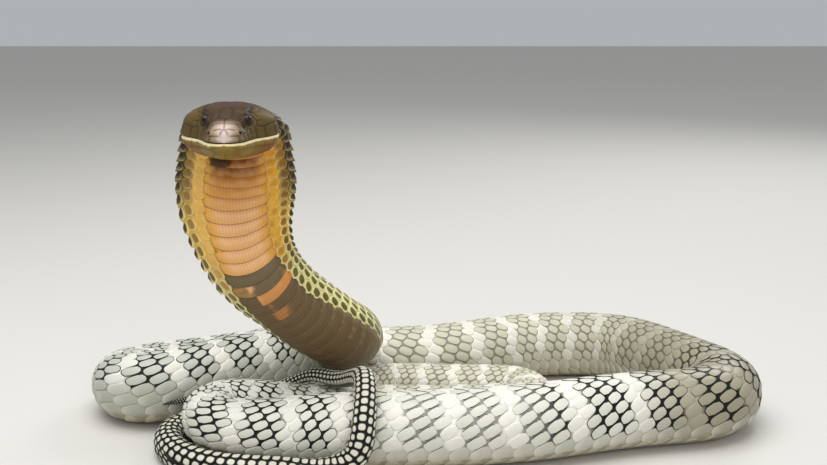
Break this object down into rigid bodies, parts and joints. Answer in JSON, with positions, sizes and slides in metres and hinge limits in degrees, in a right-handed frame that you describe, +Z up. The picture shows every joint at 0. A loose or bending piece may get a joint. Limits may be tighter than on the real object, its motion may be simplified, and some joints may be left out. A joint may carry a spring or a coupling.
{
  "type": "king cobra",
  "caption": "Life-size still model of a king cobra, head and hood raised over a flat loop of coils, tail laid across the front coil.",
  "frame": {"origin": "the middle of the bounding box at floor level, which is where the coils lie", "axes": "+Z is up; +X runs along the loop of coils, towards the turn far from the head; the head faces -Y"},
  "size_m": [0.5736, 0.3255, 0.2829],
  "materials": {
    "head_skin": "large smooth brown head shields with a satin sheen, cream-yellow lips and chin",
    "hood_skin": "smooth orange-brown and peach belly plates, yellow skin with dark olive scales at the sides",
    "trunk_skin": "smooth satin scales, pale grey-green with black outlines and pale slanting bands",
    "tail_skin": "black skin with pale oval scale centres in rings, satin",
    "eye": "very glossy dark brown eye with a round black pupil"
  },
  "bodies": {
    "root": {"head": "head_skin", "lower_jaw": "head_skin", "eye_left": "eye", "eye_right": "eye", "hood_upper": "hood_skin", "hood_lower": "hood_skin", "neck": "hood_skin", "trunk_01_heel": "trunk_skin", "trunk_02_heel": "trunk_skin", "trunk_03_left": "trunk_skin", "trunk_04_left_turn": "trunk_skin", "trunk_05_left_turn": "trunk_skin", "trunk_06_back": "trunk_skin", "trunk_07_back": "trunk_skin", "trunk_08_back": "trunk_skin", "trunk_09_right_turn": "trunk_skin", "trunk_10_right_turn": "trunk_skin", "trunk_11_front": "trunk_skin", "trunk_12_front": "trunk_skin", "trunk_13_front": "trunk_skin", "trunk_14_inner_turn": "trunk_skin", "trunk_15_inner_turn": "trunk_skin", "trunk_16_hidden": "trunk_skin", "trunk_17_hidden": "trunk_skin", "trunk_18_small_turn": "trunk_skin", "trunk_19_small_turn": "trunk_skin", "trunk_20_middle": "trunk_skin", "tail_01": "tail_skin", "tail_02": "tail_skin", "tail_03": "tail_skin", "tail_04": "tail_skin", "tail_05": "tail_skin", "tail_06": "tail_skin", "tail_07": "tail_skin", "tail_08": "tail_skin", "tail_09": "tail_skin"}
  },
  "joints": []
}
